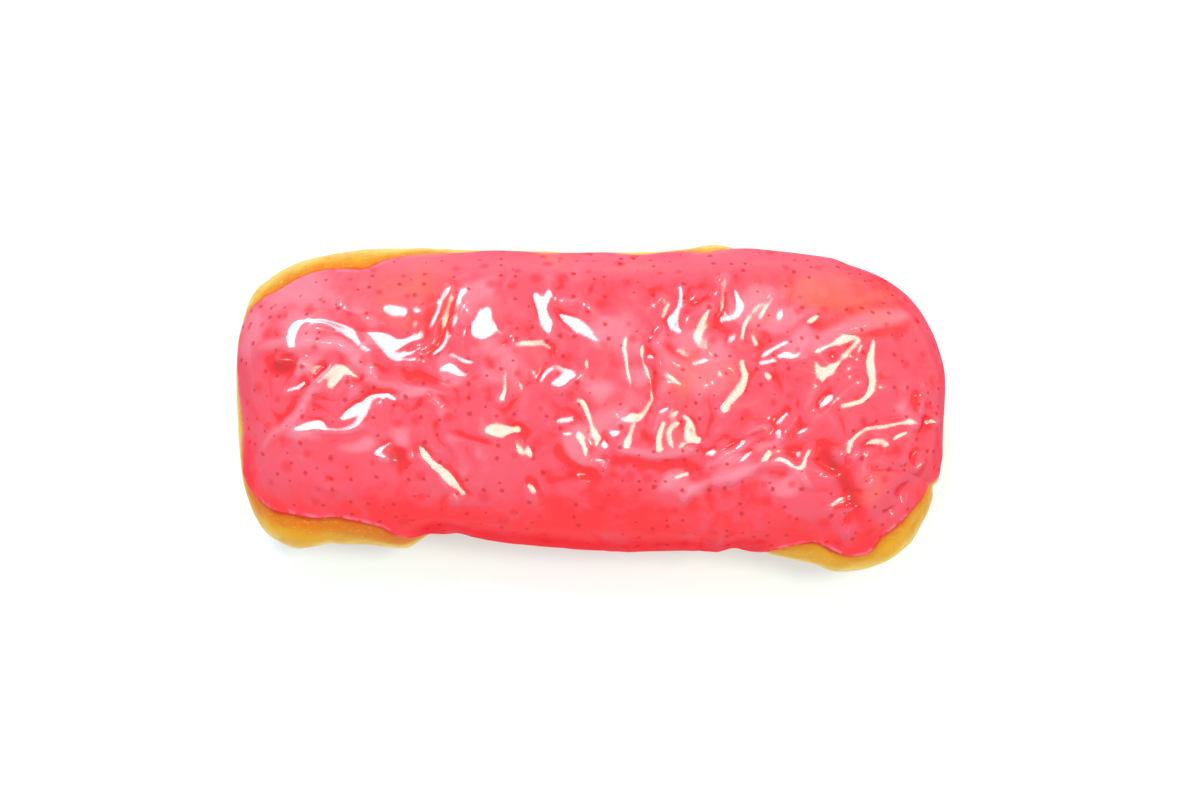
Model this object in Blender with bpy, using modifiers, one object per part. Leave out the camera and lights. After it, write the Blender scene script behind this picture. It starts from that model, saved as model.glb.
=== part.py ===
"""Iced eclair doughnut: a risen, fried dough bar under a thick wrinkled coat of icing.

The bar lies along X with its back towards +Y, and rests on its flattened underside at Z = 0.
Sizes are in millimetres and become metres where a mesh is written. A place round the bar is a
number from 0 to 8: 0 is the right end, 2 the back, 4 the left end and 6 the front.
"""

import bmesh
import bpy
import numpy as np
from mathutils import Vector, noise

MM = 0.001

# Plain dough bar, before its swellings
HALF_LENGTH = 75.0
HALF_WIDTH = 34.0
RING_HEIGHT = 14.0
RISE = 18.0
DROP = 16.5
END_POWER = 3.0
SIDE_POWER = 2.6
SPINE = HALF_LENGTH - HALF_WIDTH
END_QUARTER = 31.0
QUARTER_RUN = SPINE + END_QUARTER
BASE_SOFTENING = 1.5
SHOULDER_ANGLE = np.radians(60.0)

# Swellings (+) and dents (-) of the dough's rim: place, millimetres outwards
RIM_STATIONS = (
    (0.00, -1.0),
    (0.50, -1.6),
    (0.75, -2.6),
    (1.10, -3.0),
    (1.30, -1.7),
    (1.63, 0.6),
    (1.80, -0.6),
    (2.53, 0.0),
    (2.80, -0.3),
    (3.10, 0.9),
    (3.80, 0.1),
    (4.60, -0.4),
    (4.98, -0.1),
    (5.20, -4.6),
    (5.42, -4.9),
    (5.62, -9.0),
    (5.80, -8.0),
    (6.10, -6.6),
    (6.40, -6.4),
    (6.56, -2.4),
    (6.75, 0.8),
    (6.90, 1.5),
    (7.12, 0.3),
    (7.39, -0.7),
    (7.75, -1.2),
)

# How high the icing's edge lies above the table, with the front apron that hangs past the widest
# level between places 5.6 and 6.4: place, height
EDGE_STATIONS = (
    (0.00, 17.0),
    (0.45, 17.6),
    (0.95, 19.8),
    (1.14, 20.8),
    (1.50, 19.0),
    (1.68, 22.0),
    (1.95, 20.4),
    (2.25, 20.4),
    (2.45, 22.1),
    (2.69, 24.9),
    (2.96, 24.0),
    (3.24, 21.9),
    (3.45, 21.2),
    (4.15, 22.6),
    (4.52, 21.7),
    (4.72, 23.0),
    (4.92, 25.3),
    (5.13, 27.0),
    (5.34, 26.2),
    (5.46, 23.0),
    (5.62, 12.8),
    (6.00, 11.8),
    (6.12, 10.2),
    (6.25, 12.0),
    (6.40, 12.6),
    (6.56, 22.2),
    (6.70, 25.7),
    (6.85, 24.2),
    (6.95, 25.2),
    (7.16, 24.5),
    (7.36, 22.6),
    (7.52, 20.2),
    (7.70, 17.4),
)
PLAIN_EDGE_ANGLE = np.radians(62.0)
EDGE_PULL = 2.6

# Icing sheet
GAP = 0.5
HIDDEN_GAP = 1.0
COAT = 2.3
LIP = 0.9
LIP_REACH = 4.0
LEAST_COAT = 0.7
MOST_COAT = 5.0
SMOOTH_BORDER = (4.0, 13.0)
CRUMPLE_HEIGHT = 0.55
CRUMPLE_SIZE = 8.0

# Folds of the icing from above: start, middle and end point, height, half width
FOLDS = (
    ((-70.0, 11.5), (-61.0, 13.7), (-50.0, 13.0), 1.2, 3.6),
    ((-50.0, 13.0), (-45.5, 6.7), (-30.0, -0.5), 1.3, 3.4),
    ((-70.0, -10.5), (-65.5, -4.0), (-59.0, -0.5), 1.1, 3.2),
    ((-59.0, -0.5), (-56.5, 3.5), (-53.0, 7.5), 1.4, 3.0),
    ((-61.0, 13.0), (-57.5, 18.8), (-46.0, 13.5), 1.2, 2.8),
    ((-60.5, -4.5), (-48.5, -2.5), (-39.5, 2.7), 1.6, 3.0),
    ((-45.0, 15.0), (-39.5, 11.5), (-33.0, 15.5), 1.4, 2.8),
    ((-30.0, 18.0), (-29.0, 22.5), (-25.5, 25.0), 1.2, 2.6),
    ((-36.5, -8.5), (-31.0, -13.0), (-25.5, -18.0), 1.5, 2.8),
    ((-11.0, 24.0), (-9.5, 19.5), (-8.0, 15.0), 1.3, 2.6),
    ((-6.0, 19.5), (-2.5, 16.5), (1.5, 13.5), 1.2, 2.8),
    ((-10.5, 5.0), (-7.5, 8.5), (-2.5, 6.5), 1.4, 2.6),
    ((-2.5, 2.0), (-0.5, -2.0), (2.5, -8.0), 1.3, 2.4),
    ((7.0, 15.0), (11.5, 7.5), (12.5, 2.0), 1.3, 2.6),
    ((12.5, 2.0), (9.5, -2.0), (7.5, -8.0), 1.3, 2.6),
    ((14.5, -9.0), (15.0, -3.0), (22.5, -4.5), 1.5, 3.0),
    ((24.0, 20.5), (22.5, 16.0), (24.0, 12.5), 1.2, 2.6),
    ((31.0, 13.5), (32.0, 18.0), (37.5, 23.0), 1.2, 2.6),
    ((31.0, 9.5), (31.5, 5.5), (27.0, 1.0), 1.3, 2.6),
    ((35.0, 10.5), (42.0, 13.0), (45.0, 11.5), 1.0, 2.6),
    ((45.5, 11.5), (53.0, 16.0), (66.5, 19.5), 1.5, 3.6),
    ((57.5, 14.5), (58.0, 6.5), (50.5, 0.5), 1.5, 3.0),
    ((52.5, -9.0), (57.0, -4.0), (67.5, -2.7), 1.4, 2.8),
    ((21.5, -12.5), (30.0, -6.5), (40.0, -1.0), 1.4, 2.8),
    ((19.5, -17.0), (33.0, -11.0), (43.5, -12.0), 1.3, 2.8),
    ((45.5, -6.5), (49.0, -10.5), (54.0, -19.0), -1.2, 3.2),
)

# Mounds and pits of the icing from above: centre, radius, height
MOUNDS = (
    ((-63.0, 8.5), 4.0, -1.3),
    ((-52.0, 20.5), 4.5, -0.7),
    ((-39.0, -9.0), 3.6, -1.2),
    ((-22.0, 15.5), 4.5, 1.2),
    ((-27.5, 6.5), 4.0, 1.1),
    ((-18.0, -5.5), 3.6, 1.0),
    ((-1.0, -7.5), 5.6, 1.3),
    ((23.5, 7.0), 8.0, 1.2),
    ((47.5, 8.0), 4.5, 1.2),
    ((48.0, 1.0), 3.4, 0.9),
)

FOLD_MARKS = 9
TINY = 1e-9

DOUGH_CUTS = (29, 13, 5)
ICING_ALONG = 66
ICING_ACROSS = 30

DOUGH_COLOUR = (0.80, 0.42, 0.10, 1.0)
ICING_COLOUR = (0.94, 0.10, 0.12, 1.0)


def step(start, end, value):
    """Rises smoothly from 0 at start to 1 at end."""
    share = np.clip((value - start) / (end - start), 0, 1)
    return share * share * (3 - 2 * share)


def along_stations(place, stations):
    """Eases through the values at the stations, round and round the bar, with no overshoot."""
    at, value = np.array(stations).T
    at = np.concatenate([at[-2:] - 8, at, at[:2] + 8])
    value = np.concatenate([value[-2:], value, value[:2]])
    run = np.diff(at)
    rise = np.diff(value) / run
    both = rise[:-1] * rise[1:]
    slope = np.zeros_like(value)
    slope[1:-1] = np.where(both > 0, 2 * both / np.where(both > 0, rise[:-1] + rise[1:], 1), 0)
    index = np.searchsorted(at, place % 8, side="right") - 1
    share = (place % 8 - at[index]) / run[index]
    ease = share * share * (3 - 2 * share)
    lead = share * (1 - share) ** 2 * slope[index] * run[index]
    tail = share**2 * (1 - share) * slope[index + 1] * run[index]
    return value[index] * (1 - ease) + value[index + 1] * ease + lead - tail


def round_curve(angle, power):
    """A point on a quarter curve between a circle (power 2) and a square, at an angle from its start."""
    forward, sideways = np.cos(angle), np.sin(angle)
    size = (np.abs(forward) ** power + np.abs(sideways) ** power) ** (1 / power)
    return forward / size, sideways / size


def rim(place):
    """The spine's X and the outward direction, in half widths, of a place on the plain bar's rim."""
    front = place > 4
    quarter = np.where(front, 8 - place, place)
    left = quarter > 2
    quarter = np.where(left, 4 - quarter, quarter)
    run = (2 - quarter) * QUARTER_RUN
    on_end = quarter < 1
    spine = np.where(on_end, SPINE, np.minimum(run, SPINE))
    turn = np.where(on_end, quarter, 2 - np.maximum(run - SPINE, 0) / END_QUARTER) * np.pi / 4
    outward, sideways = round_curve(turn, END_POWER)
    mirror_x = np.where(left, -1, 1)
    return spine * mirror_x, outward * mirror_x, sideways * np.where(front, -1, 1)


def place_of(across, along, spine):
    """The place on the rim that a point looks out to, the inverse of rim."""
    turn = np.arctan2(np.abs(along), np.abs(across)) / (np.pi / 4)
    run = np.abs(spine) + (2 - turn) * END_QUARTER
    quarter = np.where(turn <= 1, turn, 2 - run / QUARTER_RUN)
    half = np.where(across + spine < 0, 4 - quarter, quarter)
    return np.where(along < 0, 8 - half, half)


def square_place(u, v, ring):
    """The place of a point on the square of half side ring, 0 at its right side's middle."""
    ring = np.maximum(ring, TINY)
    right, back, left = u >= ring, v >= ring, u <= -ring
    place = np.where(left, 4 - v / ring, 6 + u / ring)
    place = np.where(back, 2 - u / ring, place)
    place = np.where(right, v / ring, place)
    return place % 8


def pressed(height):
    """Flattens what would reach below the table, with a softened corner."""
    soft = (height + BASE_SOFTENING) ** 2 / (4 * BASE_SOFTENING)
    return np.where(height < -BASE_SOFTENING, 0, np.where(height < BASE_SOFTENING, soft, height))


def skin(x, y, under):
    """Lifts points of the plain bar's plan to its surface, then swells them outwards."""
    spine = np.clip(x, -SPINE, SPINE)
    across = x - spine
    size = (np.abs(across) ** END_POWER + np.abs(y) ** END_POWER) ** (1 / END_POWER)
    reach = np.minimum(size / HALF_WIDTH, 1)
    rise = (1 - reach**SIDE_POWER) ** (1 / SIDE_POWER)
    z = np.where(under, pressed(RING_HEIGHT - DROP * rise), RING_HEIGHT + RISE * rise)
    swell = along_stations(place_of(across, y, spine), RIM_STATIONS)
    push = swell * reach**2 / np.maximum(np.hypot(across, y), TINY)
    return np.stack([x + push * across, y + push * y, z], axis=1)


def spread(u, v, angle):
    """The plan point of a square sheet's point (u, v), where angle is measured down from the crown."""
    ring = np.maximum(np.abs(u), np.abs(v))
    spine, outward, sideways = rim(square_place(u, v, ring))
    up, out = round_curve(angle, SIDE_POWER)
    reach = HALF_WIDTH * out
    return spine * ring + reach * outward, reach * sideways, up < 0


def edge_angle(height):
    """The section's angle down from the crown at a height above the table."""
    over = (height - RING_HEIGHT) / np.where(height < RING_HEIGHT, DROP, RISE)
    out = (1 - np.abs(over) ** SIDE_POWER) ** (1 / SIDE_POWER)
    return np.arctan2(out, over)


def distance_to_fold(points, fold):
    """Distance from plan points to a fold's smooth line through its start, middle and end."""
    start, middle, end = (np.array(point) for point in fold[:3])
    bend = 2 * middle - (start + end) / 2
    shares = np.linspace(0, 1, FOLD_MARKS)[:, None]
    line = (1 - shares) ** 2 * start + 2 * shares * (1 - shares) * bend + shares**2 * end
    nearest = np.full(len(points), np.inf)
    for here, there in zip(line, line[1:]):
        run = there - here
        share = np.clip((points - here) @ run / (run @ run), 0, 1)
        nearest = np.minimum(nearest, np.hypot(*(points - here - share[:, None] * run).T))
    return nearest


def relief(points):
    """Height of the icing's folds, mounds and crumpled skin over its even coat."""
    plan = points[:, :2]
    height = np.zeros(len(points))
    for fold in FOLDS:
        tall, half_width = fold[3:]
        height += tall * np.exp(-((distance_to_fold(plan, fold) / half_width) ** 2))
    for centre, radius, tall in MOUNDS:
        away = np.hypot(*(plan - centre).T) / radius
        height += tall * np.exp(-(away**2))
    crumple = [noise.noise(Vector((x, y, 0)) / CRUMPLE_SIZE) for x, y in plan]
    return height + CRUMPLE_HEIGHT * np.array(crumple)


def edge_runs_along(edge, axis):
    start, end = edge.verts
    return abs(start.co[axis] - end.co[axis]) > edge.calc_length() / 2


def coordinates(mesh):
    return np.array([vertex.co for vertex in mesh.verts])


def move_to(mesh, points):
    for vertex, point in zip(mesh.verts, points):
        vertex.co = point


def add_object(name, mesh, material, collection):
    data = bpy.data.meshes.new(name)
    mesh.to_mesh(data)
    mesh.free()
    data.materials.append(material)
    data.shade_smooth()
    thing = bpy.data.objects.new(name, data)
    collection.objects.link(thing)
    return thing


def cut_to_triangles(thing):
    """Cuts each quad along its short diagonal, which leaves no flat slivers at the round corners."""
    triangles = thing.modifiers.new("Triangles", "TRIANGULATE")
    triangles.quad_method = "SHORTEST_DIAGONAL"


def finish(name, colour, roughness, coat):
    material = bpy.data.materials.new(name)
    material.use_nodes = True
    shader = material.node_tree.nodes["Principled BSDF"]
    shader.inputs["Base Color"].default_value = colour
    shader.inputs["Roughness"].default_value = roughness
    shader.inputs["Metallic"].default_value = 0.0
    shader.inputs["Coat Weight"].default_value = coat
    return material


def make_dough(collection):
    """A subdivided cube whose six faces become the bar's top, sides and flat underside."""
    mesh = bmesh.new()
    bmesh.ops.create_cube(mesh, size=2.0)
    for axis, cuts in enumerate(DOUGH_CUTS):
        runs = [edge for edge in mesh.edges if edge_runs_along(edge, axis)]
        bmesh.ops.subdivide_edges(mesh, edges=runs, cuts=cuts, use_grid_fill=True)
    u, v, w = coordinates(mesh).T
    ring = np.maximum(np.abs(u), np.abs(v))
    side_angle = np.pi / 2 - w * (np.pi / 2 - SHOULDER_ANGLE)
    angle = np.where(w > 0, ring * side_angle, np.pi - ring * (np.pi - side_angle))
    x, y, under = spread(u, v, angle)
    move_to(mesh, skin(x, y, under) * MM)
    crust = finish("dough_crust", DOUGH_COLOUR, 0.55, 0.0)
    cut_to_triangles(add_object("dough", mesh, crust, collection))


def make_icing(collection):
    """An open sheet laid on the dough, thickened outwards by its coat and its relief."""
    mesh = bmesh.new()
    bmesh.ops.create_grid(mesh, x_segments=ICING_ALONG, y_segments=ICING_ACROSS, size=1.0)
    u, v, _ = coordinates(mesh).T
    ring = np.maximum(np.abs(u), np.abs(v))
    edge = edge_angle(along_stations(square_place(u, v, ring), EDGE_STATIONS))
    angle = ring * PLAIN_EDGE_ANGLE + ring**EDGE_PULL * (edge - PLAIN_EDGE_ANGLE)
    x, y, under = spread(u, v, angle)
    laid = skin(x, y, under)
    move_to(mesh, laid)
    mesh.normal_update()
    to_edge = (1 - ring) * np.where(np.abs(u) > np.abs(v), HALF_LENGTH, HALF_WIDTH)
    body = step(*SMOOTH_BORDER, to_edge)
    lip = np.sin(np.minimum(to_edge / LIP_REACH, 1) * np.pi / 2)
    gap = GAP + (HIDDEN_GAP - GAP) * lip
    thickness = LIP + (COAT - LIP) * lip + relief(laid) * body - (gap - GAP)
    thickness = np.clip(thickness, LEAST_COAT, MOST_COAT)
    outward = np.array([vertex.normal for vertex in mesh.verts])
    move_to(mesh, (laid + outward * gap[:, None]) * MM)
    glaze = finish("strawberry_icing", ICING_COLOUR, 0.12, 0.6)
    icing = add_object("icing", mesh, glaze, collection)
    coat = icing.vertex_groups.new(name="coat")
    for index, share in enumerate(thickness / MOST_COAT):
        coat.add([index], float(share), "REPLACE")
    solidify = icing.modifiers.new("Coat", "SOLIDIFY")
    solidify.thickness = MOST_COAT * MM
    solidify.offset = 1.0
    solidify.vertex_group = coat.name
    cut_to_triangles(icing)


def main():
    for thing in list(bpy.data.objects):
        bpy.data.objects.remove(thing)
    eclair = bpy.data.collections.new("iced eclair doughnut")
    bpy.context.scene.collection.children.link(eclair)
    make_dough(eclair)
    make_icing(eclair)


main()
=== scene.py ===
"""Looks of an iced eclair doughnut: a golden fried bar under wet, wrinkled strawberry icing.

Lengths are millimetres until a mesh is written. The bar lies along X with its back at +Y. A place
round the bar is a number from 0 to 8: 0 is the right end, 2 the back, 4 the left end, 6 the front.
"""

import bmesh
import bpy
import numpy as np
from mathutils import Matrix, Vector, kdtree


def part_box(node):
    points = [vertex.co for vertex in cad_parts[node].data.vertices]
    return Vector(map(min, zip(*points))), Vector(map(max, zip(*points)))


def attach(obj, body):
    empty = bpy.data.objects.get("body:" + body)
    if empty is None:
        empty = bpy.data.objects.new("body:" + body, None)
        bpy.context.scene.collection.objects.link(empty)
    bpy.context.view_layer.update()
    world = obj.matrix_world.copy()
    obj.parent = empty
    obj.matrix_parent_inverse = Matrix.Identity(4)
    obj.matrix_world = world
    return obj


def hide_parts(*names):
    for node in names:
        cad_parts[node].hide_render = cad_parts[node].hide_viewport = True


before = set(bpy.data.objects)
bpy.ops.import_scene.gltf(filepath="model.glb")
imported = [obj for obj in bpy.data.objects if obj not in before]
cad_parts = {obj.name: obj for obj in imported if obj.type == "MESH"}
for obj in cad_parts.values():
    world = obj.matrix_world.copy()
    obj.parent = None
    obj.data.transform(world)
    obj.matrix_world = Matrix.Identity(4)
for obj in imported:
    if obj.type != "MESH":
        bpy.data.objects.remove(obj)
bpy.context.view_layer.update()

MM = 0.001
IN_MM = 1000
TINY = 1e-9
dough_low, dough_high = (np.array(corner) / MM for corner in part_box("dough"))

# Plain dough bar, before its swellings
HALF_LENGTH = (dough_high[0] - dough_low[0]) / 2
HALF_WIDTH = 34.0
RING_HEIGHT = 14.0
RISE = dough_high[2] - RING_HEIGHT
DROP = 16.5
END_POWER = 3.0
SIDE_POWER = 2.6
SPINE = HALF_LENGTH - HALF_WIDTH
END_QUARTER = 31.0
QUARTER_RUN = SPINE + END_QUARTER
BASE_SOFTENING = 1.5
SHOULDER_ANGLE = np.radians(60.0)

# Swellings (+) and dents (-) of the dough's rim: place, millimetres outwards
RIM_STATIONS = (
    (0, -1), (0.25, -0.8), (0.5, -1.6), (0.75, -2.6), (1.05, -3.1), (1.18, -2.9), (1.27, -1.9), (1.4, -1.4),
    (1.53, -0.5), (1.63, 0.7), (1.74, -0.4), (1.95, -0.9), (2.25, -0.5), (2.53, 0), (2.8, -0.4),
    (2.97, 0.3), (3.1, 1), (3.35, 0.6), (3.8, 0.1), (4.15, -0.3), (4.7, -0.4), (4.98, 0), (5.07, -0.8),
    (5.19, -4.8), (5.33, -5.2), (5.45, -4.7), (5.55, -8.2), (5.64, -9.3), (5.8, -8), (6.1, -6.6),
    (6.4, -6.4), (6.54, -2.9), (6.68, -0.9), (6.75, 0.9), (6.9, 1.5), (7.12, 0.3), (7.32, -0.2),
    (7.39, -0.8), (7.46, 0.2), (7.56, -0.6), (7.75, -1.3),
)
DOUGH_LUMPS = ((11.0, 0.35), (4.2, 0.10), (1.7, 0.035))
LUMP_SEED = 21
LUMP_LEVEL = 0.15
LUMPS_ABOVE_TABLE = (0.0, 3.0)
DOUGH_CUTS = (219, 95, 43)

# How high the icing's edge lies above the table: place, height
EDGE_STATIONS = (
    (0, 17.6), (0.2, 17.2), (0.45, 18.3), (0.7, 19.6), (0.95, 20.4), (1.14, 21.5), (1.28, 21), (1.51, 19.6),
    (1.66, 23), (1.74, 21.4), (1.86, 22), (1.96, 21), (2.12, 21.7), (2.26, 21), (2.42, 22.8), (2.57, 23.9),
    (2.69, 25.9), (2.86, 24.8), (2.96, 24.9), (3.1, 24), (3.24, 22.6), (3.45, 21.9), (3.95, 23),
    (4.15, 23.5), (4.35, 23.2), (4.52, 22.4), (4.72, 23.9), (4.92, 26.2), (5.13, 28.1), (5.36, 27),
    (5.45, 25.3), (5.52, 23.2), (5.6, 16), (5.67, 12), (6, 11.8), (6.12, 10), (6.22, 12), (6.42, 12.4),
    (6.5, 20.8), (6.57, 24.8), (6.7, 26.7), (6.8, 24.9), (6.85, 24.7), (6.93, 26.3), (7.16, 25.4),
    (7.36, 23.6), (7.52, 21.2), (7.62, 19.2), (7.76, 17.5), (7.9, 18.3),
)
EDGE_RIPPLES = ((0.21, 0.25), (0.083, 0.18))
RIPPLE_SEED = 5
EDGE_MARKS = 1600
PLAIN_EDGE_ANGLE = np.radians(62.0)
EDGE_PULL = 2.6

# Icing coat
SUNK = 0.25
BEAD = 1.25
BEAD_ROUND = 1.2
COAT = 2.8
COAT_REACH = 9.0
LEAST_COAT = 0.7
SMOOTH_BORDER = (3.0, 12.0)
ICING_CELLS = (480, 200)
UNDER_STEP = 8
EDGE_CROWDING = 1.06
HOLLOW_REACH = 4
FREE_SKIN = (1.5, 4.0)
SIDE_UNROLLED = 0.8

# Soft folds from above: points along the fold, height, width to its left and to its right
FOLDS = (
    (((-70, 11.7), (-66, 13), (-61, 13.8), (-56, 13.5), (-51, 13), (-48, 11), (-46, 7.5)), 0.8, 1.6, 1.9),
    (((-46, 7.5), (-43, 5.4), (-38, 4.3), (-33.5, 3.5), (-30.6, 1), (-30, -3)), 0.7, 1.4, 1.6),
    (((-69, -9.7), (-65, -5.4), (-60, -1.8), (-58, 1.5), (-55, 6)), 0.8, 1.7, 1.5),
    (((-55, 26), (-52.4, 24.3), (-49.5, 21)), 0.5, 1.6, 1.6),
    (((45, 11.7), (49, 14.1), (53, 16.1), (59, 17.8), (68, 19.8)), 1.1, 3.2, 1.5),
    (((17.6, -17.6), (22, -15.4), (30, -13), (35, -11), (40, -10.4), (42.4, -12), (45, -8)), 0.7, 0.9, 1.6),
    (((4.6, -7.7), (10, -8.8), (15, -9.4), (22.5, -7.8)), 0.8, 1.6, 1),
    (((22.5, -12.3), (26, -10.6), (30, -8), (33, -4.6), (37.7, -3.4)), 0.8, 1, 1.8),
    (((-29, 24.9), (-26.8, 26.9), (-23.9, 28.3), (-20, 28.7)), 0.35, 0.9, 0.9),
    (((-18.8, 22.2), (-17.6, 25.5), (-16, 28)), 0.2, 1.2, 1.2),
    (((43.8, -11.9), (44, -14.4), (46, -17)), 0.5, 0.9, 1.1),
    (((12, 14), (15.5, 10), (15, 4), (12, 0)), 0.5, 2, 2),
    (((-12, 16), (-14, 10), (-13, 2), (-15, -4)), 0.5, 2.2, 2.2),
    (((-3, 24), (1, 20), (6, 17)), 0.4, 2, 2),
    (((62, 2), (66, -4), (64, -12)), 0.5, 2, 2),
)

# Creases and channels pressed into the icing: points, depth, half width
CREASES = (
    (((45.8, -6.2), (48.9, -10.7), (53, -16.4), (55.4, -22.5), (56.6, -28.2)), 0.75, 2.6),
    (((-6.6, -6.2), (-5.8, -9), (-3.4, -11.4), (-0.3, -13.1), (2.6, -13.8)), 0.9, 1.2),
    (((24.9, -9.6), (30.6, -6.3), (35.7, -3.9)), 0.5, 0.5),
    (((26, -11.2), (31, -7.6)), 0.35, 0.35),
    (((36.7, 12.1), (38.1, 7), (39.7, 2.9)), 0.4, 0.8),
    (((52, -18.4), (54.6, -20.6)), 0.4, 0.6),
    (((-10, -15), (-6, -14), (2, -12.8)), 0.3, 1.2),
    (((-31, -3.8), (-24, -5.8), (-19, -7.2)), 0.4, 0.8),
    (((35.5, 15), (31, 16.6), (26, 15.8)), 0.4, 0.6),
)

# Mounds and pits from above: centre, radii along X and Y, height
MOUNDS = (
    ((-63, 8.8), (3.8, 2.2), -0.95), ((-39, -9.6), (3, 2.8), -0.75), ((-1.6, -7.6), (4.6, 5.2), 1.3),
    ((23, 7), (8, 5.6), 0.9), ((-52, 20.5), (5, 4), -0.35), ((65, 6), (6, 8), 0.4),
    ((-10, -20), (26, 9), 0.3),
)
FOLD_CROWN = 1.7
CREASE_CROWN = 1.5
MOUND_CROWN = 2.4
STROKE_TAPER = (-0.5, 2.5)

# Crumpled skin: size, height and drift of each sort of wrinkle, and the patches where it is calm
WRINKLES = ((13.0, 0.45, 2.0), (6.0, 0.40, 3.5), (2.6, 0.10, 2.5))
DRIFT_SEED, DRIFT_SIZE = 11, 9.0
WRINKLE_SEED = 13
PUFF_LEVEL = 0.6
FINE_ON_PUFFS = (0.05, 0.5)
CALMED = 0.85
CALM_PATCHES = (
    ((-52, -16), 15), ((-12, -20), 15), ((14, -21), 13), ((37, -22), 11), ((62, 14), 9), ((-33, 24), 8),
    ((5, 19), 7.5), ((-53, 22), 6), ((52, 3), 5), ((32, -2), 5), ((-16, 22), 4),
)

# Ragged spots of colour: centre, radii along X and Y
SPOT_SEED, SPOT_SIZE, SPOT_DRIFT = 31, 7.0, 3.0
SPOT_CROWN = 2.2
RAGGED_SCALE, RAGGED_SHIFT = 1800.0, 0.0007

# Thin icing, warmed by the dough under it
THIN_SPOTS = (
    ((-37.5, 24.5), (8, 5)), ((24, 8), (5.5, 3.6)), ((57.5, -16), (3, 2.5)), ((9, 31), (4, 2)),
    ((20, 3), (3, 2.5)), ((57, 23), (6, 2)), ((46, 24), (12, 5)), ((58, 20), (7, 5)), ((-8, 31), (4, 1.6)),
)

# Painted sheen: pale lilac spots laid into the icing's colour where it shows a broad soft reflection
PAINTED_SHEEN_SPOTS = (
    ((-60, 25), (11, 7)), ((-59, 17), (7, 5)), ((-60, 11), (7, 2.5)), ((-46.5, -8), (5, 2.2)),
    ((-44.5, 14.5), (5, 2.5)), ((-18.5, 8), (4.5, 5)), ((5, 15), (6, 6)), ((5, -1), (4.5, 3.5)),
    ((34, 21.5), (8, 4)), ((36.5, -8), (4.5, 2.8)), ((43, 13.5), (5, 3.5)), ((-24, 24), (5, 5)),
    ((-35, 3), (6, 1.2)), ((-29, 7), (4, 3)), ((-47, 8), (4, 3)), ((-58, -4.5), (5, 2.5)),
    ((-38, -5), (4, 2)), ((-70, 17), (5, 7)), ((-51, 12.5), (5, 2.5)), ((1, 4), (5, 4)), ((20, 14), (6, 3)),
    ((25, 13), (3, 2.5)), ((29, -10), (5, 2)), ((39, -14), (6, 3)), ((18, -16), (5, 3)),
    ((39, 19), (5, 3.5)), ((30, -12.5), (6, 2.4)), ((-20, 12), (4, 3)), ((9.5, 7), (4, 4)),
)

# Richer, deeper pink icing
RICH_SPOTS = (
    ((-60, -19), (9, 7)), ((-38, -23), (8, 3)), ((0.5, -12), (5, 3)), ((-72, -11), (5, 12)),
    ((-29, 20), (5, 5.5)), ((13, 25), (12, 5)), ((20, 7), (6.5, 4.5)), ((67, 9), (7, 8)),
    ((57, 21), (8, 6)),
)

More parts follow.
